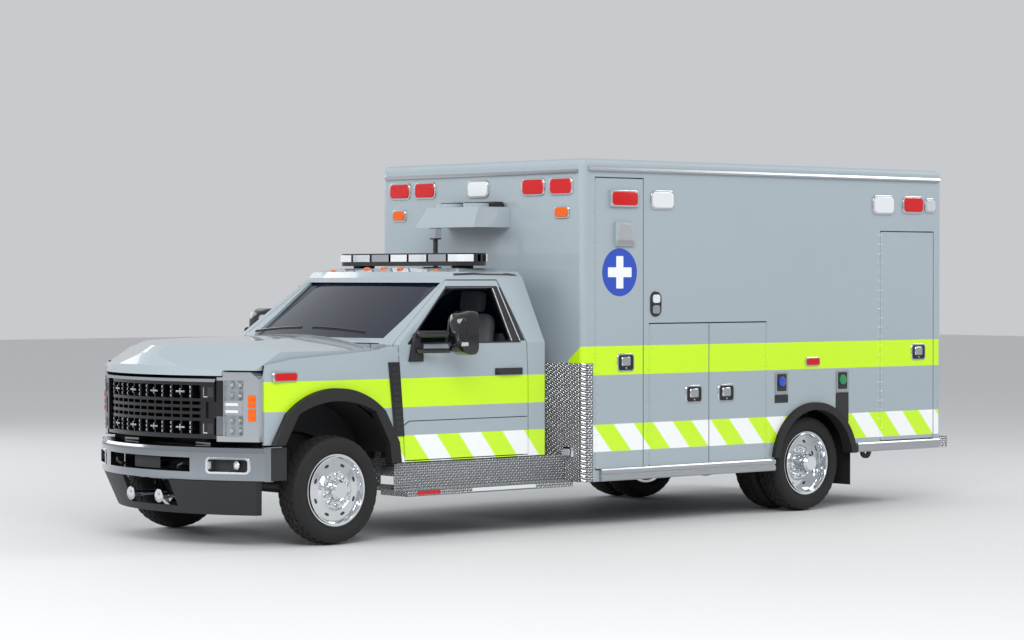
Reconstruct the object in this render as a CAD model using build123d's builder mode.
from build123d import *
from math import cos, radians, sin, sqrt
import os

os.makedirs("parts", exist_ok=True)

# Frame: +X forward, +Y to the left side, +Z up, origin on the ground under the middle.

# Overall layout, measured from the front axle
front_overhang = 970
wheelbase = 4800
box_setback = 2252
box_length = 4196
step_depth = 202
overall_length = front_overhang + box_setback + box_length + step_depth
front_x = overall_length / 2 - front_overhang
rear_x = front_x - wheelbase
box_front = front_x - box_setback
box_rear = box_front - box_length

# Running clearances
seat_gap = 0.3
seam = 8
door_gap = 10

# Tyres, wheels and axles
tyre_radius = 394
tyre_width = 225
tread_width = 186
bead_radius = 248
bead_width = 168
front_track = 1900
rear_track = 1880
dual_spacing = 262
rim_wall = 9
rim_lip = 13
hub_radius = 92
spindle_radius = 36
kingpin_y = 790
axle_tube = 56
axle_z = tyre_radius
diff_radius = 165

# Chassis frame
rail_height = 220
rail_flange = 75
rail_web = 9
frame_width = 860
frame_top = 780
frame_bottom = frame_top - rail_height
rail_front = front_x + 700
rail_rear = box_rear + 60
member_size = 110
member_depth = 80

# Cab
cab_width = 2032
cab_wall = 60
cab_rear = front_x - 2040
cab_bottom = 566
belt_z = 1425
header_z = 1915
roof_z = 1988
roof_half = 880
cab_floor_top = 835
cab_floor_thick = 45

# Front end, whose parts follow one arc in plan
nose_radius = 1660
nose_centre = front_x + front_overhang - nose_radius
hood_half = 948
hood_skin = 32
hood_rear = front_x - 440
hood_crown = 1492
hood_shut = 1335
grille_low = 775
grille_high = 1200
grille_half = 690
lamp_half = 968
lamp_low = 757
lamp_high = 1249
lamp_step = 725
bumper_low = 478
bumper_high = 722
bumper_gap = 12
bumper_half = 1020
valance_low = 230

# Patient box
box_width = 2438
box_wall = 60
box_top = 2829
box_roof_thick = 60
skirt_front = 353
skirt_rear = 461
box_floor_top = 900
box_floor_thick = 100
arch_radius = 470
arch_shift = -30
trim_width = 30
trim_stand = 40
corner_radius = 50

half_cab = cab_width / 2
half_box = box_width / 2
half_frame = frame_width / 2
box_ceiling = box_top - box_roof_thick
cab_door_front = front_x - 600
cab_door_rear = front_x - 1866
arch_x = rear_x + arch_shift


def save(piece, label):
    piece.part.label = label
    export_step(piece.part, f"parts/{label}.step")


def nose_x(y, inset=0.0):
    return nose_centre + sqrt((nose_radius - inset) ** 2 - y**2)


def block(x, y, z, mode=Mode.ADD):
    """A box given by its two ends on each axis, in any order."""
    size = (abs(x[1] - x[0]), abs(y[1] - y[0]), abs(z[1] - z[0]))
    with Locations(((x[0] + x[1]) / 2, (y[0] + y[1]) / 2, (z[0] + z[1]) / 2)):
        Box(*size, mode=mode)


def rod(start, end, radius, mode=Mode.ADD):
    """A round bar from one point to another."""
    run = Vector(*end) - Vector(*start)
    with BuildSketch(Plane(origin=start, z_dir=run)) as section:
        Circle(radius)
    extrude(section.sketch, amount=run.length, mode=mode)


def nose_band(half, depth, inset=0.0):
    """Closed plan outline of a band that follows the nose arc."""
    outer = nose_x(half, inset)
    inner = nose_x(half, inset + depth)
    with BuildLine() as outline:
        ThreePointArc((outer, half), (nose_x(0, inset), 0), (outer, -half))
        Line((outer, -half), (inner, -half))
        ThreePointArc((inner, -half), (nose_x(0, inset + depth), 0), (inner, half))
        Line((inner, half), (outer, half))
    make_face(outline.line.edges())


def nose_ring(profile, half):
    """Solid whose section of (inset, height) points runs round the nose arc, out to a half width."""
    with BuildPart() as ring:
        with BuildSketch(Plane.XZ) as section:
            with BuildLine() as outline:
                Polyline(*[(nose_x(0, inset), height) for inset, height in profile], close=True)
            make_face(outline.line.edges())
        revolve(section.sketch, axis=Axis((nose_centre, 0, 0), (0, 0, 1)))
        block((nose_centre + half, nose_x(0) + 10), (-half, half), (0, roof_z), mode=Mode.INTERSECT)
    return ring.part


# Chassis frame: two channel rails, cross members and rear tow eyes
member_xs = (rail_front - 120, front_x - 1720, 250, rear_x + 620, rear_x - 620, rail_rear + 90)
eye_thick = 24
eye_radius = 62
eye_bore = 26
eye_z = frame_bottom - 165
eye_x = rail_rear + 14
with BuildPart() as frame:
    for side in (1, -1):
        rail_x = (rail_rear, rail_front)
        outer = side * half_frame
        lip = side * (half_frame - rail_flange)
        block(rail_x, (outer, side * (half_frame - rail_web)), (frame_bottom, frame_top))
        block(rail_x, (outer, lip), (frame_top - rail_web, frame_top))
        block(rail_x, (outer, lip), (frame_bottom, frame_bottom + rail_web))
    member_z = (frame_bottom + frame_top) / 2
    member_reach = half_frame - rail_web - seat_gap
    for x in member_xs:
        block((x - member_size / 2, x + member_size / 2), (-member_reach, member_reach),
              (member_z - member_depth / 2, member_z + member_depth / 2))
    for side in (1, -1):
        far_y = side * half_frame if side > 0 else side * (half_frame - eye_thick)
        with BuildSketch(Plane.XZ.offset(-far_y)):
            with Locations((eye_x, eye_z)):
                Circle(eye_radius)
            with BuildLine():
                Polyline((eye_x - eye_radius, eye_z), (eye_x + eye_radius, eye_z),
                         (rail_rear + 160, frame_bottom + rail_web),
                         (rail_rear, frame_bottom + rail_web), close=True)
            make_face()
            with Locations((eye_x, eye_z)):
                Circle(eye_bore, mode=Mode.SUBTRACT)
        extrude(amount=eye_thick)
save(frame, "frame")

# Engine and gearbox as plain blocks, with the shaft to the rear axle
engine_x = (front_x - 420, front_x + 450)
engine_half = 330
engine_z = (640, 1200)
gearbox_rear = front_x - 1500
gearbox_half = 190
gearbox_z = (540, 770)
shaft_radius = 50
with BuildPart() as driveline:
    block(engine_x, (-engine_half, engine_half), engine_z)
    block((gearbox_rear, engine_x[0]), (-gearbox_half, gearbox_half), gearbox_z)
    for side in (1, -1):
        block((front_x - 50, front_x + 50), (side * (engine_half - 1),
                                             side * (half_frame - rail_web - seat_gap)), (650, 720))
    rod((gearbox_rear, 0, gearbox_z[0] + 30), (rear_x + diff_radius + 1, 0, axle_z + 20), shaft_radius)
save(driveline, "driveline")

# Front drive axle with the kingpin yokes
yoke_length = 70
yoke_width = 90
yoke_arm = 24
barrel_height = 120
front_diff_y = -190
front_diff_radius = 145
with BuildPart() as front_axle:
    rod((front_x, -kingpin_y + 70, axle_z), (front_x, kingpin_y - 70, axle_z), axle_tube)
    with Locations((front_x, front_diff_y, axle_z)):
        Sphere(front_diff_radius)
    for side in (1, -1):
        inner = side * (kingpin_y - 100)
        outer = side * (kingpin_y + yoke_length / 2)
        reach = barrel_height / 2 + seat_gap
        block((front_x - yoke_width / 2, front_x + yoke_width / 2), (inner, outer),
              (axle_z - reach - yoke_arm, axle_z + reach + yoke_arm))
        block((front_x - yoke_width, front_x + yoke_width),
              (side * (kingpin_y - 50), side * (kingpin_y + 90)),
              (axle_z - reach, axle_z + reach), mode=Mode.SUBTRACT)
save(front_axle, "front_axle")

# Rear axle with its differential housing
rear_tube_end = rear_track / 2 + 60
with BuildPart() as rear_axle:
    rod((rear_x, -rear_tube_end, axle_z), (rear_x, rear_tube_end, axle_z), axle_tube - 8)
    with Locations((rear_x, 0, axle_z)):
        Sphere(diff_radius)
save(rear_axle, "rear_axle")

# Leaf springs, hung under the rails over both axles
spring_width = 70
# axle x, half length, axle pad height above the axle centre, leaf count
spring_rows = ((front_x, 600, axle_tube, 4), (rear_x, 680, axle_tube - 8, 5))
leaf = 10
spring_rise = 36
with BuildPart() as springs:
    for centre, half, pad, leaves in spring_rows:
        for side in (1, -1):
            seat = axle_z + pad + seat_gap
            far_y = side * (half_frame - 2) if side > 0 else side * (half_frame - 2 - spring_width)
            with BuildSketch(Plane.XZ.offset(-far_y)):
                for row in range(leaves):
                    reach = half * (1 - 0.13 * (leaves - 1 - row))
                    low = seat + row * leaf
                    rise = spring_rise * (reach / half) ** 2
                    with BuildLine():
                        ThreePointArc((centre - reach, low + rise), (centre, low),
                                      (centre + reach, low + rise))
                        Line((centre + reach, low + rise), (centre + reach, low + rise + leaf))
                        ThreePointArc((centre + reach, low + rise + leaf), (centre, low + leaf),
                                      (centre - reach, low + rise + leaf))
                        Line((centre - reach, low + rise + leaf), (centre - reach, low + rise))
                    make_face()
                top = seat + leaves * leaf + spring_rise
                for end in (-1, 1):
                    x = centre + end * (half - 20)
                    with BuildLine():
                        Polyline((x - 20, top - 12), (x + 20, top - 12), (x + 45, frame_bottom - seat_gap),
                                 (x - 45, frame_bottom - seat_gap), close=True)
                    make_face()
            extrude(amount=spring_width)
save(springs, "springs")

# Steering knuckles: a barrel in the yoke, a spindle and a brake drum flange
knuckle_reach = front_track / 2 + 60
disc_in = 72
disc_out = 106
for side, label in ((1, "knuckle_left"), (-1, "knuckle_right")):
    with BuildPart() as knuckle:
        with BuildSketch(Plane.XY.offset(axle_z - barrel_height / 2)):
            with Locations((front_x, side * kingpin_y)):
                Circle(yoke_length / 2 - 2)
        extrude(amount=barrel_height)
        rod((front_x, side * kingpin_y, axle_z), (front_x, side * knuckle_reach, axle_z), spindle_radius)
        rod((front_x, side * (kingpin_y + disc_in), axle_z),
            (front_x, side * (kingpin_y + disc_out), axle_z), 150)
    save(knuckle, label)

# Wheels: tyre and steel wheel, spun about the axle line
# label, axle x, side, tyre centres out from the middle, spindle or axle tube that carries it
wheel_rows = (
    ("front_left", front_x, 1, (front_track / 2,), spindle_radius),
    ("front_right", front_x, -1, (front_track / 2,), spindle_radius),
    ("rear_left", rear_x, 1, (rear_track / 2 - dual_spacing / 2, rear_track / 2 + dual_spacing / 2),
     axle_tube - 8),
    ("rear_right", rear_x, -1, (rear_track / 2 - dual_spacing / 2, rear_track / 2 + dual_spacing / 2),
     axle_tube - 8),
)
shoulder_drop = 16
bulge_radius = 326
bead_flange = bead_radius + 20
tyre_half = tyre_width / 2
tread_half = tread_width / 2
bead_half = bead_width / 2
hand_hole_count = 8
hand_hole_ring = 178
hub_proud = 44


def tyre_profile(centre):
    """Closed tyre section, axial place along local X and radius along local Y."""
    with BuildLine() as outline:
        Polyline((centre - bead_half, bead_flange), (centre - bead_half, bead_radius),
                 (centre + bead_half, bead_radius), (centre + bead_half, bead_flange))
        ThreePointArc((centre + bead_half, bead_flange), (centre + tyre_half, bulge_radius),
                      (centre + tread_half, tyre_radius - shoulder_drop))
        ThreePointArc((centre + tread_half, tyre_radius - shoulder_drop), (centre, tyre_radius),
                      (centre - tread_half, tyre_radius - shoulder_drop))
        ThreePointArc((centre - tread_half, tyre_radius - shoulder_drop),
                      (centre - tyre_half, bulge_radius),
                      (centre - bead_half, bead_flange))
    make_face(outline.line.edges())


for name, centre_x, side, centres, shaft in wheel_rows:
    # local X runs outward along the axle, local Y is the radius
    profile_plane = Plane(origin=(centre_x, 0, axle_z), x_dir=(0, side, 0), z_dir=(-side, 0, 0))
    spin = Axis((centre_x, 0, axle_z), (0, 1, 0))
    with BuildPart() as tyre:
        with BuildSketch(profile_plane):
            for centre in centres:
                tyre_profile(centre)
        revolve(axis=spin)
    save(tyre, f"tyre_{name}")
    well = bead_radius - seat_gap
    outer_lip = centres[-1] + bead_half
    face = outer_lip - 26 if len(centres) == 1 else centres[-1] - 74
    hub_end = centres[-1] + tyre_half + hub_proud
    bore = shaft + seat_gap
    with BuildPart() as rim:
        with BuildSketch(profile_plane):
            for centre in centres:
                with Locations((centre, well - rim_wall / 2)):
                    Rectangle(bead_width + 2 * rim_lip, rim_wall)
                for end in (-1, 1):
                    with Locations((centre + end * (bead_half + seat_gap + rim_lip / 2), well + 4)):
                        Rectangle(rim_lip, 2 * rim_lip)
            if len(centres) == 2:
                with Locations((sum(centres) / 2, well - rim_wall / 2)):
                    Rectangle(dual_spacing, rim_wall)
            with BuildLine():
                Polyline((face, bore), (face, well - rim_wall / 2), (face - 12, well - rim_wall / 2),
                         (face - 20, hub_radius), (face - 60, hub_radius), (face - 60, bore), close=True)
            make_face()
            with BuildLine():
                Polyline((face - 1, bore), (face - 1, hub_radius), (hub_end - 20, hub_radius * 0.8),
                         (hub_end, hub_radius * 0.62), (hub_end, 0), (hub_end - 12, 0),
                         (hub_end - 12, bore), close=True)
            make_face()
        revolve(axis=spin)
        hole_plane = Plane(origin=(centre_x, side * (face + 40), axle_z), x_dir=(1, 0, 0),
                           z_dir=(0, -side, 0))
        with BuildSketch(hole_plane):
            with PolarLocations(hand_hole_ring, hand_hole_count):
                SlotOverall(70, 40, rotation=90)
        extrude(amount=70, mode=Mode.SUBTRACT)
    save(rim, f"rim_{name}")

# Cab shell: a lower body and a greenhouse that leans in, hollow, split at the door and roof seams
post_x = front_x - 588
glass_top_x = front_x - 1193
inner_half = half_cab - cab_wall


def cab_section(inset, rear, front_side, front_corner, corner_y, front_mid, half):
    """Plan outline of the cab at one height, its front edge a shallow arc."""
    with BuildLine() as outline:
        Polyline((front_corner - inset, corner_y - inset), (front_side - inset, half - inset),
                 (rear + inset, half - inset), (rear + inset, -half + inset),
                 (front_side - inset, -half + inset), (front_corner - inset, -corner_y + inset))
        ThreePointArc((front_corner - inset, -corner_y + inset), (front_mid - inset, 0),
                      (front_corner - inset, corner_y - inset))
    make_face(outline.line.edges())


# height, rear x, side front x, windscreen corner x, windscreen corner y, middle x, half width
belt_row = (belt_z, cab_rear, cab_door_front + 4, post_x, 875, post_x + 120, half_cab)
header_row = (header_z, cab_rear + 110, glass_top_x - 40, glass_top_x - 34, 690, glass_top_x + 40,
              roof_half)
lower_row = (cab_bottom, cab_rear, cab_door_front - 60, post_x - 20, 875, post_x + 20, half_cab)


def cab_form(inset):
    """Solid inside the cab's skin, set in from it by an even distance."""
    with BuildPart() as form:
        for low, high in ((lower_row, belt_row), (belt_row, header_row)):
            for row in (low, high):
                with BuildSketch(Plane.XY.offset(row[0])):
                    cab_section(inset, *row[1:])
            loft(ruled=True)
    return form.part


cab_outer = cab_form(0)
cab_inner = cab_form(cab_wall)
door_low = cab_bottom + 14
door_pin_x = cab_door_front - 1


def door_outline(grow):
    """Side outline of a cab door, grown outward by a clearance."""
    with BuildLine() as outline:
        Polyline((cab_door_rear - grow, door_low - grow), (cab_door_front - 65 + grow, door_low - grow),
                 (cab_door_front + grow, belt_z), (front_x - 1120 + grow, header_z - 20 + grow),
                 (cab_door_rear + 205 - grow, header_z - 20 + grow), (cab_door_rear + 15 - grow, belt_z),
                 (cab_door_rear - grow, 1130), (cab_door_rear - grow, door_low - grow))
    make_face(outline.line.edges())


def window_outline():
    """Side outline of the cab door's window opening."""
    with BuildLine() as outline:
        Polyline((front_x - 1790, belt_z + 12), (cab_door_front - 95, belt_z + 12),
                 (front_x - 1150, header_z - 75), (front_x - 1655, header_z - 75),
                 (front_x - 1790, belt_z + 12))
    make_face(outline.line.edges())


seat_x = cab_rear + 330
seat_long = 520
seat_base_top = 1010
cowl_low = 1395
cowl_high = belt_z + 5
cowl_ledge = 1370
cowl_thick = 16
cowl_half = 850
hinge_x = front_x - 510
hinge_z = 1372
hinge_pin = 10
hinge_y = 790
arm_width = 14
screen_low = belt_z + 45
screen_high = header_z - 28


def side_core(depth):
    """All of the cab's width that lies deeper than a depth in from its two sides."""
    low_half = half_cab - depth
    high_half = roof_half - depth
    with BuildPart() as core:
        with BuildSketch(Plane.YZ.offset(cab_rear - 200)) as section:
            with BuildLine() as outline:
                Polyline((-low_half, cab_bottom - 50), (low_half, cab_bottom - 50), (low_half, belt_z),
                         (high_half, header_z), (-high_half, header_z), (-low_half, belt_z), close=True)
            make_face(outline.line.edges())
        extrude(section.sketch, amount=2000)
    return core.part


door_depth = cab_wall + 215
with BuildPart() as door_space:
    for side in (1, -1):
        with BuildSketch(Plane.XZ.offset(-side * (half_cab + 5))):
            door_outline(seam)
        extrude(amount=side * door_depth)
    add(side_core(cab_wall + seam), mode=Mode.SUBTRACT)

with BuildPart() as cab_tub:
    add(cab_outer)
    add(cab_inner, mode=Mode.SUBTRACT)
    block((cab_rear - 5, post_x + 200), (-half_cab + cab_wall, half_cab - cab_wall),
          (cab_bottom - 5, cab_floor_top - cab_floor_thick), mode=Mode.SUBTRACT)
    for side in (1, -1):
        block((cab_rear + 30, cab_rear + cab_wall + 40),
              (side * (half_frame + 10), side * (inner_half - seam)),
              (cab_floor_top - cab_floor_thick - 30, cab_floor_top - cab_floor_thick - seat_gap))
    with BuildSketch(Plane.XY.offset(cowl_low)):
        with BuildLine():
            Polyline((post_x - 30, -870), (post_x - 30, 870), (post_x + 10, 870),
                     (hood_rear - seam, cowl_half),
                     (hood_rear - seam, -cowl_half), (post_x + 10, -870), close=True)
        make_face()
    extrude(amount=cowl_high - cowl_low)
    block((hinge_x, hood_rear), (-half_cab, half_cab), (cowl_low - 1, cowl_high + 1), mode=Mode.SUBTRACT)
    block((hinge_x - cowl_thick, hinge_x), (-cowl_half, cowl_half), (cowl_ledge - cowl_thick, cowl_high))
    block((hinge_x - cowl_thick, hood_rear - seam), (-cowl_half, cowl_half),
          (cowl_ledge - cowl_thick, cowl_ledge))
    for side in (1, -1):
        block((hinge_x - 30, hinge_x + 100), (side * (hinge_y - 5), side * (hinge_y + arm_width + 5)),
              (cowl_ledge - cowl_thick - 5, cowl_high + 5), mode=Mode.SUBTRACT)
        lug_y = (side * (hinge_y + arm_width + 8), side * (hinge_y + arm_width + 24))
        block((hinge_x - 22, hinge_x + 22), lug_y, (hinge_z - 22, cowl_low + 1))
        rod((hinge_x, side * hinge_y, hinge_z), (hinge_x, lug_y[1] + side, hinge_z), hinge_pin + seat_gap,
            mode=Mode.SUBTRACT)
    add(door_space.part, mode=Mode.SUBTRACT)
    block((cab_rear + 20, cab_rear + 200), (-620, 620), (belt_z + 60, header_z - 90), mode=Mode.SUBTRACT)
    block((glass_top_x - 120, post_x + 200), (-800, 800), (screen_low, screen_high - 8), mode=Mode.SUBTRACT)
save(cab_tub, "cab_tub")

# Cab floor pan with the seat pedestals and the pads that rest on the rails
with BuildPart() as cab_floor:
    block((cab_rear + cab_wall + seat_gap, post_x), (-inner_half + seam, inner_half - seam),
          (cab_floor_top - cab_floor_thick, cab_floor_top))
    add(cab_form(cab_wall + seat_gap), mode=Mode.INTERSECT)
    for side in (1, -1):
        block((seat_x, seat_x + seat_long), (side * 190, side * 700), (cab_floor_top, seat_base_top))
        for x in (cab_rear + 160, post_x - 220):
            block((x - 60, x + 60), (side * (half_frame - rail_flange), side * half_frame),
                  (frame_top + seat_gap, cab_floor_top - cab_floor_thick + 1))
save(cab_floor, "cab_floor")

for side, label in ((1, "cab_door_left"), (-1, "cab_door_right")):
    with BuildPart() as door:
        with BuildSketch(Plane.XZ.offset(-side * (half_cab + 5))):
            door_outline(0)
        extrude(amount=side * door_depth)
        add(cab_outer, mode=Mode.INTERSECT)
        add(side_core(cab_wall), mode=Mode.SUBTRACT)
        with BuildSketch(Plane.XZ.offset(-side * (half_cab + 5))):
            window_outline()
        extrude(amount=side * door_depth, mode=Mode.SUBTRACT)
        block((cab_door_front - 12, door_pin_x), (side * (half_cab - 4), side * half_cab), (1345, 1375))
        rod((door_pin_x, side * half_cab, 1345), (door_pin_x, side * half_cab, 1375), 2.6)
    save(door, label)

# Cab roof, crowned, closing the greenhouse above the header seam
with BuildPart() as cab_roof:
    with BuildSketch(Plane.XY.offset(header_z + seat_gap)):
        cab_section(0, *header_row[1:])
    with BuildSketch(Plane.XY.offset(header_z + 45)):
        cab_section(26, *header_row[1:])
    with BuildSketch(Plane.XY.offset(roof_z)):
        cab_section(150, *header_row[1:])
    loft(ruled=True)
    with BuildSketch(Plane.XY.offset(header_z)):
        cab_section(cab_wall, *header_row[1:])
    with BuildSketch(Plane.XY.offset(roof_z - 30)):
        cab_section(cab_wall + 110, *header_row[1:])
    loft(ruled=True, mode=Mode.SUBTRACT)
save(cab_roof, "cab_roof")

# Windscreen and rear window, flush in their openings
pane = 6
with BuildPart() as pane_form:
    for row in (belt_row, header_row):
        with BuildSketch(Plane.XY.offset(row[0])):
            cab_section(cab_wall / 2, *row[1:])
    loft(ruled=True)
with BuildPart() as pane_core:
    for row in (belt_row, header_row):
        with BuildSketch(Plane.XY.offset(row[0])):
            cab_section(cab_wall / 2 + pane, *row[1:])
    loft(ruled=True)
with BuildPart() as cab_glass:
    add(pane_form.part)
    add(pane_core.part, mode=Mode.SUBTRACT)
    block((cab_rear + 200, glass_top_x - 120), (-half_cab, half_cab), (belt_z, header_z),
          mode=Mode.SUBTRACT)
    for side in (1, -1):
        block((cab_rear, post_x + 200), (side * (800 - seat_gap), side * half_cab), (belt_z, header_z),
              mode=Mode.SUBTRACT)
    block((glass_top_x - 121, post_x + 200), (-half_cab, half_cab), (belt_z, screen_low + seat_gap),
          mode=Mode.SUBTRACT)
    block((glass_top_x - 121, post_x + 200), (-half_cab, half_cab), (screen_high - 8 - seat_gap, header_z),
          mode=Mode.SUBTRACT)
    for side in (1, -1):
        block((cab_rear, cab_rear + 201), (side * (620 - seat_gap), side * half_cab), (belt_z, header_z),
              mode=Mode.SUBTRACT)
    block((cab_rear, cab_rear + 201), (-half_cab, half_cab), (belt_z, belt_z + 60 + seat_gap),
          mode=Mode.SUBTRACT)
    block((cab_rear, cab_rear + 201), (-half_cab, half_cab), (header_z - 90 - seat_gap, header_z),
          mode=Mode.SUBTRACT)
save(cab_glass, "cab_glass")

# Dashboard with steering column and wheel
dash_half = inner_half - 12
wheel_y = 430
wheel_centre = (post_x - 430, wheel_y, 1215)
wheel_ring = 190
wheel_grip = 15
with BuildPart() as dash:
    with BuildSketch(Plane.XZ.offset(-dash_half)):
        with BuildLine():
            Polyline((post_x - 95, 1120), (post_x - 95, belt_z - 5), (post_x - 150, belt_z - 5),
                     (post_x - 330, belt_z - 90), (post_x - 330, belt_z - 220), (post_x - 230, 1000),
                     (post_x - 120, 1000), close=True)
        make_face()
    extrude(amount=2 * dash_half)
    block((post_x - 96, post_x - 30 - seat_gap), (-300, 300), (cowl_low + 10, cowl_high - 10))
    rod((post_x - 300, wheel_y, 1170), wheel_centre, 24)
    wheel_plane = Plane(origin=wheel_centre, z_dir=(-0.9, 0, 0.43))
    with BuildSketch(wheel_plane):
        Circle(wheel_ring + wheel_grip)
        Circle(wheel_ring - wheel_grip, mode=Mode.SUBTRACT)
        Circle(60)
        for turn in (0, 120, 240):
            with Locations(Location((0, 0, 0), (0, 0, turn + 90))):
                with Locations((wheel_ring / 2, 0)):
                    Rectangle(wheel_ring, 34)
    extrude(amount=wheel_grip, both=True)
save(dash, "dash")

# Seats: cab cushions and backs, plain padded forms
cushion = 120
with BuildPart() as seats:
    for side in (1, -1):
        ys = (side * 180, side * 710)
        block((seat_x + 60, seat_x + seat_long + 20), ys,
              (seat_base_top + seat_gap, seat_base_top + cushion))
        with BuildSketch(Plane.XZ.offset(-max(ys))):
            with BuildLine():
                Polyline((seat_x + 60, seat_base_top + 40), (seat_x - 40, 1640), (seat_x - 150, 1640),
                         (seat_x - 60, seat_base_top + seat_gap), (seat_x + 60, seat_base_top + seat_gap),
                         close=True)
            make_face()
        extrude(amount=abs(ys[1] - ys[0]))
        block((seat_x - 150, seat_x - 50), (side * 320, side * 570), (1640, 1820))
save(seats, "seats")

# Hood: the nose arc turned about its own centre, crowned across, hollow below
hood_low = grille_high + 22
# radius inward from the nose arc, height
hood_rows = ((22, hood_low), (30, 1290), (70, 1375), (160, 1425), (380, 1455))

# the flat that slopes off each front shoulder: a point on it, and its fall forwards and outwards
shoulder_x = front_x + 613
shoulder_y = 600
shoulder_z = 1385
shoulder_drop = 0.573
shoulder_lean = 0.3


def hood_form(inset):
    """Solid under the hood's skin, set in from it by an even distance."""
    half = hood_half - inset
    side_z = hood_shut + 55 - inset
    low = hood_low - 2 * hood_skin
    with BuildPart() as arch:
        with BuildSketch(Plane.YZ.offset(hood_rear + inset / 2)):
            with BuildLine():
                Polyline((-half, side_z), (-half, low), (half, low), (half, side_z))
                ThreePointArc((half, side_z), (0, hood_crown - inset), (-half, side_z))
            make_face()
        extrude(amount=2000)
    with BuildPart() as form:
        with BuildSketch(Plane.XZ):
            with BuildLine():
                Polyline((nose_x(0, hood_rows[0][0] + inset), low),
                         *[(nose_x(0, dip + inset), height - inset) for dip, height in hood_rows],
                         (hood_rear, hood_crown - inset), (nose_centre, hood_crown - inset),
                         (nose_centre, low), (nose_x(0, hood_rows[0][0] + inset), low))
            make_face()
        revolve(axis=Axis((nose_centre, 0, 0), (0, 0, 1)))
        add(arch.part, mode=Mode.INTERSECT)
        for side in (1, -1):
            shoulder = Plane(origin=(shoulder_x, side * shoulder_y, shoulder_z - inset),
                             x_dir=(1, 0, -shoulder_drop), z_dir=(shoulder_drop, side * shoulder_lean, 1))
            with BuildSketch(shoulder) as face:
                Rectangle(hood_half, 1.4 * hood_half)
            extrude(face.sketch, amount=400, mode=Mode.SUBTRACT)
    return form.part


hood_inner = hood_form(hood_skin)
with BuildPart() as hood:
    add(hood_form(0))
    add(hood_inner, mode=Mode.SUBTRACT)
    block((hood_rear, nose_x(0)), (-hood_half, hood_half), (hood_low - 3 * hood_skin, hood_low),
          mode=Mode.SUBTRACT)
    block((hood_rear, front_x + 400), (-hood_half, hood_half), (hood_low - 1, hood_shut - 40),
          mode=Mode.SUBTRACT)
    for side in (1, -1):
        block((nose_centre, nose_x(0)), (side * lamp_step, side * (hood_half + 1)),
              (hood_low - 1, lamp_high + bumper_gap),
              mode=Mode.SUBTRACT)
        block((hinge_x - hinge_pin, hood_rear + 30), (side * hinge_y, side * (hinge_y + arm_width)),
              (hinge_z - hinge_pin, hinge_z + hinge_pin))
        block((hood_rear + 8, hood_rear + 30), (side * hinge_y, side * (hinge_y + arm_width)),
              (hinge_z - hinge_pin, 1404))
        rod((hinge_x, side * hinge_y, hinge_z), (hinge_x, side * (hinge_y + arm_width + 24), hinge_z),
            hinge_pin)
save(hood, "hood")

# Headlamps, between the grille and the fenders, and the space they take with its clearance
lamp_depth = 150
lamp_inset = 24
lamp_round = 50
lens_depth = 14
lens_half = (750, 872)
# low and high edge of the two lenses
lens_rows = ((795, 947), (1045, 1192))


def lamp_form(grow, depth, inset):
    """Outer form of the two headlamps, grown by a clearance."""
    with BuildPart() as form:
        with BuildSketch(Plane.XY.offset(lamp_low - grow)) as plan:
            nose_band(lamp_half + grow, depth, inset)
        extrude(plan.sketch, amount=lamp_high - lamp_low + 2 * grow)
        for side in (1, -1):
            with BuildSketch(Plane.YZ.offset(nose_centre + lamp_half)) as corner:
                with BuildLine() as outline:
                    Polyline((side * (lamp_half + grow - lamp_round), lamp_high + grow),
                             (side * (lamp_half + grow), lamp_high + grow - lamp_round),
                             (side * (lamp_half + grow), lamp_high + grow), close=True)
                make_face(outline.line.edges())
            extrude(corner.sketch, amount=nose_radius, mode=Mode.SUBTRACT)
        block((nose_centre, nose_x(0) + 1), (-grille_half - seat_gap + grow, grille_half + seat_gap - grow),
              (lamp_low - 5, lamp_high + 5), mode=Mode.SUBTRACT)
        block((nose_centre, nose_x(0) + 1), (-lamp_step - seam + grow, lamp_step + seam - grow),
              (grille_high + bumper_gap + grow, lamp_high + 5), mode=Mode.SUBTRACT)
    return form.part


with BuildPart() as headlamps:
    add(lamp_form(0, lamp_depth, lamp_inset))
    for low, high in lens_rows:
        with BuildPart(mode=Mode.PRIVATE) as lens_space:
            add(nose_ring(((-5, low), (lamp_inset + lens_depth, low), (lamp_inset + lens_depth, high),
                           (-5, high)),
                          lens_half[1]))
            block((nose_centre, nose_x(0) + 10), (-lens_half[0], lens_half[0]), (low - 1, high + 1),
                  mode=Mode.SUBTRACT)
        add(lens_space.part, mode=Mode.SUBTRACT)
save(headlamps, "headlamps")
lamp_space = lamp_form(seat_gap, lamp_depth + lamp_inset, 0)

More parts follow.
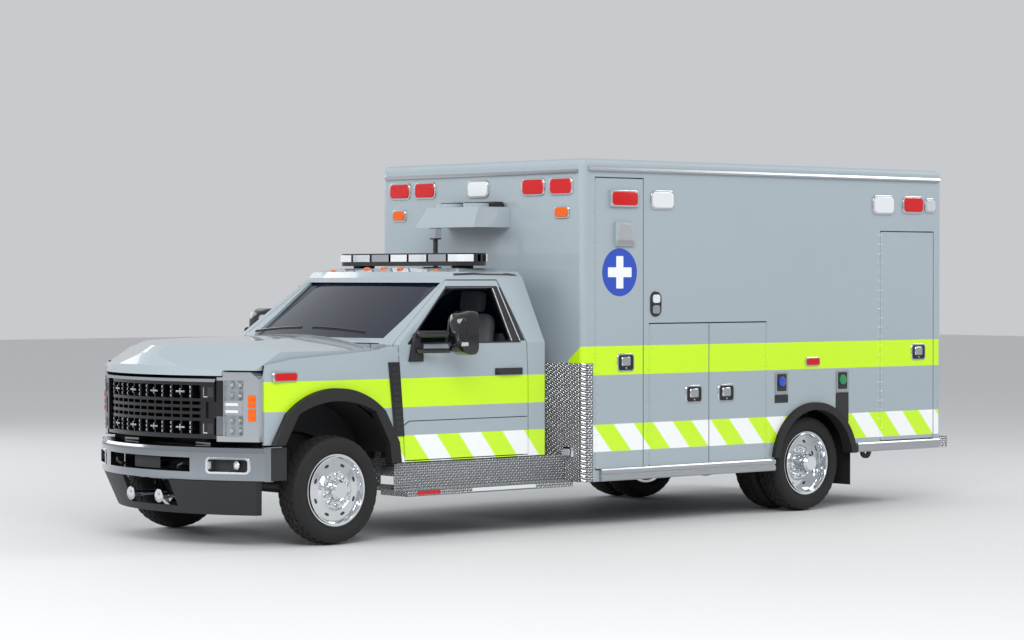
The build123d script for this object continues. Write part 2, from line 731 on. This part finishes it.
# Front fenders, open over the wheels, with their tops rolled in to the hood
fender_rear = cab_door_front - 65 + seam
fender_front = front_x + 590
fender_low = 566
arch_top = 1045
arch_half = 545
with BuildPart() as fenders:
    for side in (1, -1):
        with BuildSketch(Plane.XY.offset(fender_low)):
            with BuildLine():
                Polyline((fender_rear, side * (hood_half + seam)), (fender_rear, side * half_cab),
                         (front_x + 380, side * half_cab))
                ThreePointArc((front_x + 380, side * half_cab), (front_x + 500, side * (half_cab - 10)),
                              (fender_front, side * (lamp_half + 14)))
                Polyline((fender_front, side * (lamp_half + 14)), (fender_front, side * (hood_half + seam)),
                         (fender_rear, side * (hood_half + seam)))
            make_face()
        extrude(amount=1500 - fender_low)
    with BuildSketch(Plane.XZ.offset(-half_cab - 5)):
        with BuildLine():
            Polyline((fender_rear - 5, 1600), (fender_rear - 5, belt_z + 2),
                     (hood_rear + 60, hood_shut + 52),
                     (front_x + 360, hood_shut + 3), (front_x + 640, hood_shut - 48), (front_x + 640, 1600),
                     close=True)
        make_face()
    extrude(amount=2 * half_cab + 10, mode=Mode.SUBTRACT)
    with BuildSketch(Plane.XZ.offset(-half_cab - 5)):
        with BuildLine():
            Polyline((front_x - arch_half, 0), (front_x - arch_half + 25, 700), (front_x - 390, 930))
            ThreePointArc((front_x - 390, 930), (front_x, arch_top), (front_x + 390, 930))
            Polyline((front_x + 390, 930), (front_x + arch_half - 25, 700), (front_x + arch_half, 0),
                     (front_x - arch_half, 0))
        make_face()
    extrude(amount=2 * half_cab + 10, mode=Mode.SUBTRACT)
    block((front_x + 500, front_x + 700), (-half_cab - 5, half_cab + 5),
          (fender_low - 5, bumper_high + bumper_gap),
          mode=Mode.SUBTRACT)
    with BuildSketch(Plane.XZ.offset(-half_cab - 5)):
        door_outline(seam)
    extrude(amount=2 * half_cab + 10, mode=Mode.SUBTRACT)
    add(lamp_space, mode=Mode.SUBTRACT)
    add(cab_outer, mode=Mode.SUBTRACT)
    block((fender_rear - 5, post_x + 15), (-half_cab + 130, half_cab - 130), (cowl_low, 1500),
          mode=Mode.SUBTRACT)
save(fenders, "fenders")

# Grille: a frame on the nose arc with rows of slots, a top strip and a raised piece at each end
grille_depth = 60
grille_inset = 30
grille_stand = 12
slot_half = 572
slot_columns = 13
slot_rib = 14
# low and high edge of each row of slots
slot_rows = ((806, 900), (922, 946), (968, 992), (1014, 1038), (1060, 1154))
end_low = grille_low + 22
end_high = grille_high - 22
with BuildPart() as grille:
    with BuildSketch(Plane.XY.offset(grille_low)):
        nose_band(grille_half, grille_depth, grille_inset)
    extrude(amount=grille_high - grille_low)
    slot_pitch = 2 * slot_half / slot_columns
    for low, high in slot_rows:
        for column in range(slot_columns):
            y = -slot_half + column * slot_pitch
            block((nose_centre + nose_radius / 2, nose_x(0)),
                  (y + slot_rib / 2, y + slot_pitch - slot_rib / 2), (low, high),
                  mode=Mode.SUBTRACT)
    with BuildPart(mode=Mode.PRIVATE) as ends:
        add(nose_ring(((grille_stand, end_low), (grille_inset + 1, end_low), (grille_inset + 1, end_high),
                       (grille_stand, end_high)), grille_half - seam))
        block((nose_centre, nose_x(0)), (-slot_half - seam, slot_half + seam), (grille_low, grille_high),
              mode=Mode.SUBTRACT)
        for side in (1, -1):
            block((nose_centre, nose_x(0)), (side * (slot_half + 50), side * grille_half),
                  (slot_rows[1][0], slot_rows[3][1]),
                  mode=Mode.SUBTRACT)
    add(ends.part)
    add(nose_ring(((grille_stand + 4, end_high), (grille_inset + 1, end_high),
                   (grille_inset + 1, grille_high),
                   (grille_stand + 4, grille_high)), grille_half - seam))
save(grille, "grille")

# Radiator support behind the grille, which carries the grille, lamps and fenders
support_back = lamp_inset + lamp_depth + 40
support_post = 460
with BuildPart() as support:
    for low in (800, 1120):
        with BuildSketch(Plane.XY.offset(low)):
            nose_band(hood_half + seam - seat_gap, support_back - grille_depth - grille_inset - seat_gap,
                      grille_inset + grille_depth + seat_gap)
        extrude(amount=50)
    add(lamp_space, mode=Mode.SUBTRACT)
    for side in (1, -1):
        block((rail_front - 60, nose_x(support_post, support_back - 30)),
              (side * (support_post - 60), side * (support_post + 30)),
              (frame_top + seat_gap, 1150))
save(support, "radiator_support")

# Front bumper with fog lamp pockets, back pads to the rails and two trumpet horns
bumper_wall = 60
horn_z = 353
horn_y = 177
horn_bell = 48
pocket = (640, 930)
pocket_high = 640
# inset from the nose arc, height
bumper_section = ((120, bumper_high), (40, bumper_high), (14, bumper_high - 8), (2, bumper_high - 26),
                  (0, bumper_high - 44),
                  (0, bumper_low + 22), (4, bumper_low + 6), (16, bumper_low), (bumper_wall, bumper_low),
                  (bumper_wall, bumper_high - 24), (120, bumper_high - 24))
with BuildPart() as bumper:
    add(nose_ring(bumper_section, bumper_half))
    block((nose_centre + nose_radius - 160, nose_x(0) + 10), (-500, 500), (bumper_low + 62, pocket_high),
          mode=Mode.SUBTRACT)
    for side in (1, -1):
        block((nose_x(0) - 420, nose_x(0) + 10), (side * pocket[0], side * pocket[1]),
              (bumper_low + 60, pocket_high),
              mode=Mode.SUBTRACT)
        block((rail_front + seat_gap, nose_x(540, bumper_wall / 2)), (side * 360, side * 540),
              (bumper_low, bumper_low + 60))
        block((rail_front + seat_gap, rail_front + 40), (side * 360, side * 540),
              (bumper_low, frame_top - 40))
        horn_back = nose_x(0) - 340
        with BuildSketch(Plane(origin=(0, side * horn_y, horn_z), x_dir=(1, 0, 0), z_dir=(0, -1, 0))):
            with BuildLine():
                Polyline((horn_back, 0), (horn_back, 16), (horn_back + 220, 22))
                ThreePointArc((horn_back + 220, 22), (horn_back + 280, 30), (nose_x(0) - 36, horn_bell))
                Polyline((nose_x(0) - 36, horn_bell), (nose_x(0) - 36, 0), (horn_back, 0))
            make_face()
        revolve(axis=Axis((0, side * horn_y, horn_z), (1, 0, 0)))
        block((nose_x(0) - 300, nose_x(0) - 260), (side * horn_y - 15, side * horn_y + 15),
              (horn_z, bumper_low + 40))
        block((nose_x(0) - 300, nose_x(0) - 30), (side * horn_y - 15, side * horn_y + 15),
              (bumper_low, bumper_low + 40))
save(bumper, "bumper")

# Lower front valance, open in the middle for the horns
with BuildPart() as valance:
    with BuildSketch(Plane.XY.offset(valance_low)):
        nose_band(870, 40, 120)
    with BuildSketch(Plane.XY.offset(bumper_low - seat_gap)):
        nose_band(960, 40, 14)
    loft(ruled=True)
    block((nose_centre, nose_centre + 1800), (-290, 290), (horn_z - 70, bumper_low + 5), mode=Mode.SUBTRACT)
save(valance, "valance")

# Rubber and plastic wheel-arch trim: front flares, rear fenderettes and mud flaps
flare_width = 92
flare_stand = 54
flap_thick = 8
floor_low = box_floor_top - box_floor_thick
with BuildPart() as arch_trim:
    for side in (1, -1):
        with BuildSketch(Plane.XZ.offset(-side * (half_cab + flare_stand))):
            for grow, mode in ((0, Mode.ADD), (-flare_width, Mode.SUBTRACT)):
                half = arch_half + 45 + grow
                top = arch_top + 80 + grow
                with BuildLine():
                    Polyline((front_x - half, fender_low), (front_x - half + 20, 720),
                             (front_x - half + 150, 950))
                    ThreePointArc((front_x - half + 150, 950), (front_x, top), (front_x + half - 150, 950))
                    Polyline((front_x + half - 150, 950), (front_x + half - 20, 720),
                             (front_x + half - 20, fender_low),
                             (front_x - half, fender_low))
                make_face(mode=mode)
        extrude(amount=side * (flare_stand - seat_gap))
        block((front_x + 380, front_x + 700), (side * (half_cab - 100), side * (half_cab + 100)),
              (500, bumper_high + bumper_gap),
              mode=Mode.SUBTRACT)
    trim_inner = arch_radius - seat_gap - trim_width
    for side in (1, -1):
        wall_face = side * (half_box + seat_gap)
        with BuildSketch(Plane.XZ.offset(-side * (half_box + trim_stand))):
            with Locations((arch_x, axle_z)):
                Circle(arch_radius + trim_width)
                Circle(trim_inner, mode=Mode.SUBTRACT)
            with Locations((arch_x, axle_z - 500)):
                Rectangle(1200, 1000 + 2 * (skirt_rear - axle_z), mode=Mode.SUBTRACT)
        extrude(amount=side * (trim_stand - seat_gap))
        with BuildSketch(Plane.XZ.offset(-side * (half_box + 1))):
            with Locations((arch_x, axle_z)):
                Circle(arch_radius - seat_gap)
                Circle(trim_inner, mode=Mode.SUBTRACT)
            with Locations((arch_x, axle_z - 500)):
                Rectangle(1200, 1000 + 2 * (skirt_rear - axle_z), mode=Mode.SUBTRACT)
        extrude(amount=side * (box_wall + 1))
        flap_x = arch_x - arch_radius - 50
        block((flap_x, flap_x + flap_thick), (side * 690, side * (half_box - box_wall - seat_gap)),
              (190, floor_low - seat_gap))
save(arch_trim, "arch_trim")

# Lockers behind the outer doors
locker_depth = 480
locker_wall = 18
locker_margin = 24
# side, rear x, front x, low z, high z of the doors that each locker serves
locker_rows = (
    (1, front_x - 2884, front_x - 2385, 450, 2680),
    (1, front_x - 4265, front_x - 2961, 450, 1555),
    (1, front_x - 6329, front_x - 5661, 550, 2300),
    (-1, front_x - 6329, front_x - 5661, 550, 2300),
)

# Patient box floor, on cross sills over the rails, with the rear wheel housings
room_half = half_box - box_wall
housing_half = 480
housing_in = 600
housing_top = 1010
sill_xs = [box_rear + 250 + step * (box_length - 500) / 7 for step in range(8)]
with BuildPart() as box_floor:
    block((box_rear + box_wall + seat_gap, box_front - box_wall - seat_gap),
          (-room_half + seat_gap, room_half - seat_gap),
          (floor_low, box_floor_top))
    for x in sill_xs:
        block((x - 40, x + 40), (-half_frame - 60, half_frame + 60), (frame_top + seat_gap, floor_low + 1))
    for side in (1, -1):
        block((arch_x - housing_half - 20, arch_x + housing_half + 20),
              (side * (housing_in - 20), side * (room_half - seat_gap)),
              (floor_low, housing_top + 20))
        block((arch_x - housing_half, arch_x + housing_half), (side * housing_in, side * (room_half + 5)),
              (floor_low - 5, housing_top), mode=Mode.SUBTRACT)
    for side, x_a, x_b, low, high in locker_rows:
        grow = locker_margin + seat_gap
        block((x_a - grow, x_b + grow), (side * (room_half - locker_depth - seat_gap), side * half_box),
              (floor_low - 1, box_floor_top + 1), mode=Mode.SUBTRACT)
save(box_floor, "box_floor")

# Side doors of the box
# label, side, hinge edge x, free edge x, low z, high z, hinge at the front edge
left_doors = (
    ("locker_door_front", 1, front_x - 2385, front_x - 2884, 450, 2680),
    ("locker_door_middle_a", 1, front_x - 2961, front_x - 3608, 450, 1555),
    ("locker_door_middle_b", 1, front_x - 4265, front_x - 3618, 450, 1555),
    ("locker_door_rear", 1, front_x - 5661, front_x - 6329, 550, 2300),
)
right_doors = (
    ("side_entry_door", -1, front_x - 2420, front_x - 3270, 450, 2400),
    ("locker_door_right", -1, front_x - 5661, front_x - 6329, 550, 2300),
)
# lamps on the front locker door: x low, x high, z low, z high
lamp_out = 22
door_lamps = ((front_x - 2820, front_x - 2522, 2464, 2589), (front_x - 2777, front_x - 2575, 2161, 2344))
entry_window = (front_x - 3120, front_x - 2570, 1600, 2220)
rear_door_half = 640
rear_door_low = box_floor_top - 20
rear_door_high = 2640
rear_window = (110, 530, 1780, 2340)


def wall_outline():
    """Side wall of the box with its wheel arch."""
    with BuildLine() as outline:
        Polyline((box_front - box_wall - seat_gap, box_ceiling - seat_gap),
                 (box_rear + box_wall + seat_gap, box_ceiling - seat_gap),
                 (box_rear + box_wall + seat_gap, skirt_rear), (arch_x, skirt_rear), (arch_x, skirt_front),
                 (box_front - box_wall - seat_gap, skirt_front),
                 (box_front - box_wall - seat_gap, box_ceiling - seat_gap))
    make_face(outline.line.edges())
    with Locations((arch_x, axle_z)):
        Circle(arch_radius, mode=Mode.SUBTRACT)


def opening(x_a, x_b, low, high, grow, mode=Mode.ADD):
    with Locations(((x_a + x_b) / 2, (low + high) / 2)):
        Rectangle(abs(x_a - x_b) + 2 * grow, high - low + 2 * grow, mode=mode)


for side, rows, label in ((1, left_doors, "box_wall_left"), (-1, right_doors, "box_wall_right")):
    wall_plane = Plane.XZ.offset(-side * half_box)
    with BuildPart() as wall:
        with BuildSketch(wall_plane):
            wall_outline()
            for name, _, hinge_x, free_x, low, high in rows:
                opening(hinge_x, free_x, low, high, door_gap, Mode.SUBTRACT)
        extrude(amount=side * box_wall)
    save(wall, label)
    for name, _, hinge_x, free_x, low, high in rows:
        with BuildPart() as panel:
            with BuildSketch(wall_plane):
                opening(hinge_x, free_x, low, high, 0)
                if name == "side_entry_door":
                    opening(*entry_window, 0, Mode.SUBTRACT)
            extrude(amount=side * box_wall)
            turn = 1 if hinge_x > free_x else -1
            pin_x = hinge_x + turn * door_gap / 2
            rod((pin_x, side * half_box, low + 10), (pin_x, side * half_box, high - 10),
                door_gap / 2 - seat_gap)
            block((hinge_x - turn, pin_x), (side * (half_box - 4), side * half_box), (low + 10, high - 10))
            if name == "locker_door_front":
                for x_a, x_b, z_a, z_b in door_lamps:
                    block((x_a, x_b), (side * (half_box - 1), side * (half_box + lamp_out)), (z_a, z_b))
        save(panel, name)

# Front wall with rounded corners, and the rear frame around its two doors
with BuildPart() as box_front_wall:
    with BuildSketch(Plane.XY.offset(skirt_front)):
        with Locations((box_front - box_wall / 2, 0)):
            Rectangle(box_wall, box_width)
        fillet([v for v in vertices() if v.X > box_front - box_wall / 2], corner_radius)
    extrude(amount=box_ceiling - seat_gap - skirt_front)
    block((box_front - box_wall - 1, box_front + 1), (-half_frame - 30, half_frame + 30),
          (skirt_front - 1, frame_top + 10),
          mode=Mode.SUBTRACT)
save(box_front_wall, "box_wall_front")

plate_y = -840
plate_z = 650
plate_pitch_y = 177.8
plate_pitch_z = 120.65
plate_hole = 3.5
with BuildPart() as box_rear_frame:
    with BuildSketch(Plane.XY.offset(skirt_rear)):
        with Locations((box_rear + box_wall / 2, 0)):
            Rectangle(box_wall, box_width)
        fillet([v for v in vertices() if v.X < box_rear + box_wall / 2], corner_radius)
    extrude(amount=box_ceiling - seat_gap - skirt_rear)
    block((box_rear - 1, box_rear + box_wall + 1), (-rear_door_half - door_gap, rear_door_half + door_gap),
          (rear_door_low - door_gap, rear_door_high + door_gap), mode=Mode.SUBTRACT)
    block((box_rear - 1, box_rear + box_wall + 1), (-half_frame - 30, half_frame + 30),
          (skirt_rear - 1, frame_top + 10),
          mode=Mode.SUBTRACT)
    with BuildSketch(Plane.YZ.offset(box_rear - 1)):
        with Locations((plate_y, plate_z)):
            with GridLocations(plate_pitch_y, plate_pitch_z, 2, 2):
                Circle(plate_hole)
    extrude(amount=box_wall + 2, mode=Mode.SUBTRACT)
save(box_rear_frame, "box_rear_frame")

for side, label in ((1, "rear_door_left"), (-1, "rear_door_right")):
    with BuildPart() as panel:
        block((box_rear, box_rear + box_wall), (side * door_gap / 2, side * rear_door_half),
              (rear_door_low, rear_door_high))
        block((box_rear - 1, box_rear + box_wall + 1), (side * rear_window[0], side * rear_window[1]),
              rear_window[2:],
              mode=Mode.SUBTRACT)
        pin_y = side * (rear_door_half + door_gap / 2)
        rod((box_rear, pin_y, rear_door_low + 10), (box_rear, pin_y, rear_door_high - 10),
            door_gap / 2 - seat_gap)
        block((box_rear, box_rear + 4), (side * (rear_door_half - 1), pin_y),
              (rear_door_low + 10, rear_door_high - 10))
    save(panel, label)
    with BuildPart() as glass:
        block((box_rear + 20, box_rear + 28), (side * (rear_window[0] + seat_gap),
                                               side * (rear_window[1] - seat_gap)),
              (rear_window[2] + seat_gap, rear_window[3] - seat_gap))
    save(glass, f"{label.replace('door', 'glass')}")
with BuildPart() as glass:
    block((entry_window[0] + seat_gap, entry_window[1] - seat_gap), (-half_box + 20, -half_box + 28),
          (entry_window[2] + seat_gap, entry_window[3] - seat_gap))
save(glass, "side_entry_glass")

# Box roof with rounded upper edges
with BuildPart() as box_roof:
    with BuildSketch(Plane.XY.offset(box_ceiling)):
        with Locations(((box_front + box_rear) / 2, 0)):
            RectangleRounded(box_length, box_width, corner_radius)
    extrude(amount=box_roof_thick)
    fillet(faces().sort_by(Axis.Z)[-1].edges(), 40)
save(box_roof, "box_roof")

# Patient room fittings: a cabinet wall with a worktop recess, and a bench over the right wheel housing
cabinet_in = 585
cabinet_out = room_half - locker_depth - 16
cabinet_x = (arch_x - housing_half - 260, box_front - box_wall - 8)
bench_x = (arch_x - housing_half - 290, arch_x + housing_half + 90)
bench_top = 1330
with BuildPart() as room_fittings:
    block(cabinet_x, (cabinet_in, cabinet_out), (housing_top + 40, box_ceiling - 12))
    block((cabinet_x[0] + 900, cabinet_x[0] + 2300), (cabinet_in - 1, cabinet_in + 70), (1380, 1820),
          mode=Mode.SUBTRACT)
    for x_a, x_b in ((cabinet_x[0] + 60, cabinet_x[0] + 820), (cabinet_x[0] + 2380, cabinet_x[1] - 60)):
        block((x_a, x_b), (cabinet_in - 1, cabinet_in + 60), (1900, 2500), mode=Mode.SUBTRACT)
    block((arch_x + housing_half + 40, cabinet_x[1]), (cabinet_in, cabinet_out),
          (box_floor_top + seat_gap, housing_top + 41))
    block(bench_x, (-room_half + 8, -cabinet_in), (box_floor_top + seat_gap, bench_top))
    block((arch_x - housing_half - 40, arch_x + housing_half + 40), (-room_half - 1, -cabinet_in + 1),
          (box_floor_top - 1, housing_top + 20 + seat_gap), mode=Mode.SUBTRACT)
save(room_fittings, "room_fittings")

# Fuel tank strapped under the rear rails
tank_x = (rail_rear + 260, rail_rear + 860)
tank_z = (305, 552)
with BuildPart() as fuel_tank:
    with BuildSketch(Plane.YZ.offset(tank_x[0])):
        with Locations((0, sum(tank_z) / 2)):
            RectangleRounded(800, tank_z[1] - tank_z[0], 60)
    extrude(amount=tank_x[1] - tank_x[0])
    for x in (tank_x[0] + 120, tank_x[1] - 160):
        for side in (1, -1):
            block((x, x + 40), (side * (half_frame - rail_flange + 5), side * (half_frame - 5)),
                  (tank_z[1] - 60, frame_bottom - seat_gap))
save(fuel_tank, "fuel_tank")

# Exhaust: pipe from the engine, muffler along the right rail, tail pipe out ahead of the rear wheel
muffler_y = -(half_frame + 140)
muffler_z = 440
muffler_x = (box_front - 1400, box_front - 640)
pipe_y = -(half_frame - 40)
pipe_z = 505
pipe = 38
pipe_run = ((front_x - 800, -240, 470), (front_x - 1300, pipe_y, pipe_z),
            (muffler_x[1] + 300, pipe_y, pipe_z),
            (muffler_x[1] + 60, muffler_y, muffler_z),
            (muffler_x[0] - 60, muffler_y, muffler_z), (arch_x + 860, -900, 330),
            (arch_x + 820, -half_box - 10, 300))
with BuildPart() as exhaust:
    for start, end in zip(pipe_run, pipe_run[1:]):
        rod(start, end, pipe)
    for point in pipe_run[1:-1]:
        with Locations(point):
            Sphere(pipe)
    rod((muffler_x[0], muffler_y, muffler_z), (muffler_x[1], muffler_y, muffler_z), 100)
    for x in (muffler_x[0] + 80, muffler_x[1] - 80):
        block((x - 15, x + 15), (-half_frame - seat_gap, muffler_y), (muffler_z + 60, muffler_z + 90))
        block((x - 15, x + 15), (-half_frame - seat_gap, -half_frame - 12),
              (muffler_z + 60, frame_bottom + 60))
save(exhaust, "exhaust")

# Locker liners, open to the outside
with BuildPart() as lockers:
    for side, x_a, x_b, low, high in locker_rows:
        near = side * (room_half - seat_gap)
        deep = side * (room_half - locker_depth)
        block((x_a - locker_margin, x_b + locker_margin), (near, deep),
              (low - locker_margin, high + locker_margin))
        block((x_a - locker_margin + locker_wall, x_b + locker_margin - locker_wall),
              (side * room_half, deep + side * locker_wall),
              (low - locker_margin + locker_wall, high + locker_margin - locker_wall), mode=Mode.SUBTRACT)
save(lockers, "lockers")

# Condenser shroud on the box's front wall, over the cab
shroud_half = 370
shroud_out = 360
with BuildPart() as shroud:
    with BuildSketch(Plane.XY.offset(2310)):
        with BuildLine():
            Polyline((box_front + seat_gap, -shroud_half), (box_front + seat_gap, shroud_half),
                     (box_front + shroud_out, shroud_half - 10),
                     (box_front + shroud_out, -shroud_half + 10), close=True)
        make_face()
    with BuildSketch(Plane.XY.offset(2470)):
        with BuildLine():
            Polyline((box_front + seat_gap, -shroud_half), (box_front + seat_gap, shroud_half),
                     (box_front + shroud_out - 90, shroud_half - 60),
                     (box_front + shroud_out - 90, -shroud_half + 60), close=True)
        make_face()
    loft(ruled=True)
    for y in (-160, 160):
        with Locations((box_front + 150, y, 2470)):
            Cylinder(115, 60)
save(shroud, "condenser_shroud")

# Bright metal guards: front corner guards and grooved rub rails
guard = 3
rub_out = 32
rail_rows = ((front_x - 2418, front_x - 4351, 354, 449), (front_x - 5350, box_rear + 58, 464, 540))
with BuildPart() as guards:
    for side in (1, -1):
        with BuildSketch(Plane.XY.offset(skirt_front + 1)):
            with BuildLine():
                Polyline((box_front + seat_gap, side * 781), (box_front + seat_gap + guard, side * 781),
                         (box_front + seat_gap + guard, side * (half_box - corner_radius)))
                RadiusArc((box_front + seat_gap + guard, side * (half_box - corner_radius)),
                          (box_front - corner_radius, side * (half_box + seat_gap + guard)),
                          -side * (corner_radius + guard + seat_gap))
                Polyline((box_front - corner_radius, side * (half_box + seat_gap + guard)),
                         (box_front - 100, side * (half_box + seat_gap + guard)),
                         (box_front - 100, side * (half_box + seat_gap)),
                         (box_front - corner_radius, side * (half_box + seat_gap)))
                RadiusArc((box_front - corner_radius, side * (half_box + seat_gap)),
                          (box_front + seat_gap, side * (half_box - corner_radius)),
                          side * (corner_radius + seat_gap))
                Line((box_front + seat_gap, side * (half_box - corner_radius)),
                     (box_front + seat_gap, side * 781))
            make_face()
        extrude(amount=1260 - skirt_front)
        for x_a, x_b, low, high in rail_rows:
            with BuildSketch(Plane.YZ.offset(x_b)):
                with BuildLine():
                    Polyline((side * (half_box + seat_gap), low), (side * (half_box + rub_out - 8), low),
                             (side * (half_box + rub_out), low + 10),
                             (side * (half_box + rub_out), low + 38),
                             (side * (half_box + rub_out - 10), low + 42),
                             (side * (half_box + rub_out - 10), high - 42),
                             (side * (half_box + rub_out), high - 38),
                             (side * (half_box + rub_out), high - 10),
                             (side * (half_box + rub_out - 8), high), (side * (half_box + seat_gap), high),
                             close=True)
                make_face()
            extrude(amount=x_a - x_b)
save(guards, "guards")

# Steps: cab running boards and the rear step bumper on its brackets
board_out = 1150
board_in = 850
board_low = 323
board_high = 366
board_x = (front_x - 2208, front_x - 567)
riser_in = 1000
riser_high = cab_bottom - 12
gusset_high = 640
step_low = 452
step_high = 547
step_half = 1110
with BuildPart() as steps:
    for side in (1, -1):
        block(board_x, (side * board_in, side * board_out), (board_low, board_high))
        block(board_x, (side * riser_in, side * (riser_in + 12)), (board_high - 1, riser_high))
        far_y = side * (riser_in + 12) if side > 0 else side * riser_in
        with BuildSketch(Plane.XZ.offset(-far_y)):
            with BuildLine():
                Polyline((box_front + seam, board_high - 1), (board_x[0] + 90, board_high - 1),
                         (box_front + seam, gusset_high), close=True)
            make_face()
        extrude(amount=12)
        block((box_front + seam, board_x[0] + 1), (side * riser_in, side * (riser_in + 12)),
              (board_low, board_high))
        for x in (board_x[0] + 300, board_x[1] - 300):
            block((x - 30, x + 30), (side * (half_frame + seat_gap), side * (board_out - 60)),
                  (board_low, board_high))
            block((x - 30, x + 30), (side * (half_frame + seat_gap), side * (half_frame + 12)),
                  (board_low, frame_top - 40))
    block((box_rear - step_depth, box_rear - 25), (-step_half, step_half), (step_low, step_high))
    for side in (1, -1):
        bar_y = (side * (half_frame - rail_flange), side * (half_frame - eye_thick - 4))
        block((box_rear - 60, rail_rear + 200), bar_y, (step_high - 30, frame_bottom - seat_gap))
save(steps, "steps")

# Warning and scene lamps of the box, each a bezel that stands off the wall
# x low, x high, z low, z high on both side walls
side_lamps = (
    (front_x - 2820, front_x - 2522, 2464, 2589),
    (front_x - 3222, front_x - 2960, 2447, 2598),
    (front_x - 5825, front_x - 5547, 2444, 2608),
    (front_x - 6198, front_x - 5927, 2458, 2606),
    (front_x - 6354, front_x - 6210, 2469, 2594),
)
# y low, y high, z low, z high on the front wall
front_lamps = (
    (840, 1110, 2550, 2690), (520, 790, 2550, 2690), (-130, 130, 2545, 2690), (-790, -520, 2550, 2690),
    (-1110, -840, 2550, 2690), (870, 1090, 2360, 2487), (-1090, -870, 2360, 2487),
)
# y low, y high, z low, z high on the rear frame
rear_lamps = (
    (820, 1120, 2480, 2640), (-1120, -820, 2480, 2640), (880, 1060, 1000, 1160), (-1060, -880, 1000, 1160),
    (880, 1060, 1200, 1360), (-1060, -880, 1200, 1360), (-150, 150, 2665, 2755),
)
with BuildPart() as box_lamps:
    for side in (1, -1):
        for x_a, x_b, low, high in side_lamps:
            if side > 0 and high == 2589:
                continue
            block((x_a, x_b), (side * (half_box + seat_gap), side * (half_box + lamp_out)), (low, high))
    for y_a, y_b, low, high in front_lamps:
        block((box_front + seat_gap, box_front + lamp_out), (y_a, y_b), (low, high))
    for y_a, y_b, low, high in rear_lamps:
        block((box_rear - lamp_out, box_rear - seat_gap), (y_a, y_b), (low, high))
save(box_lamps, "box_lamps")

# Roof light bar on two feet, with a lamp post behind it
bar_x = (front_x - 1705, front_x - 1435)
bar_half = 795
bar_round = 120
bar_low = 2008
bar_top = 2104
post_height = 2305
with BuildPart() as light_bar:
    with BuildSketch(Plane.XY.offset(bar_low)):
        with Locations(((bar_x[0] + bar_x[1]) / 2, 0)):
            RectangleRounded(bar_x[1] - bar_x[0], 2 * bar_half, bar_round)
    extrude(amount=bar_top - bar_low)
    for side in (1, -1):
        block((bar_x[0] + 60, bar_x[1] - 60), (side * 560, side * 640), (roof_z + seat_gap, bar_low + 5))
    block((bar_x[0] - 112, bar_x[0] - 88), (-14, 14), (roof_z + seat_gap, post_height - 1))
    block((bar_x[0] - 130, bar_x[0] - 70), (-33, 33), (post_height - 90, post_height))
    block((bar_x[0] - 120, bar_x[0] - 15), (-50, 50), (roof_z + seat_gap, roof_z + 12))
save(light_bar, "light_bar")

# Towing mirrors on the cab doors
mirror_x = (front_x - 1090, front_x - 950)
mirror_y = (1104, 1350)
mirror_foot = (front_x - 790, front_x - 690)
# height and radius of each arm
mirror_arms = ((1380, 18), (1503, 26))
mirror_z = (1348, 1672)
for side, label in ((1, "mirror_left"), (-1, "mirror_right")):
    with BuildPart() as mirror:
        with BuildSketch(Plane.YZ.offset(mirror_x[0])):
            with Locations((side * sum(mirror_y) / 2, sum(mirror_z) / 2)):
                RectangleRounded(mirror_y[1] - mirror_y[0], mirror_z[1] - mirror_z[0], 50)
        extrude(amount=mirror_x[1] - mirror_x[0])
        for z, arm in mirror_arms:
            rod((mirror_foot[0] + 40, side * (half_cab + 32), z),
                (mirror_x[1] - 30, side * (mirror_y[0] + 60), z), arm)
        block(mirror_foot, (side * (half_cab + seat_gap), side * (half_cab + 28)), (1300, belt_z - 20))
        block((mirror_foot[0] + 10, mirror_foot[0] + 70), (side * (half_cab + 2), side * (half_cab + 36)),
              (1350, 1526))
    save(mirror, label)
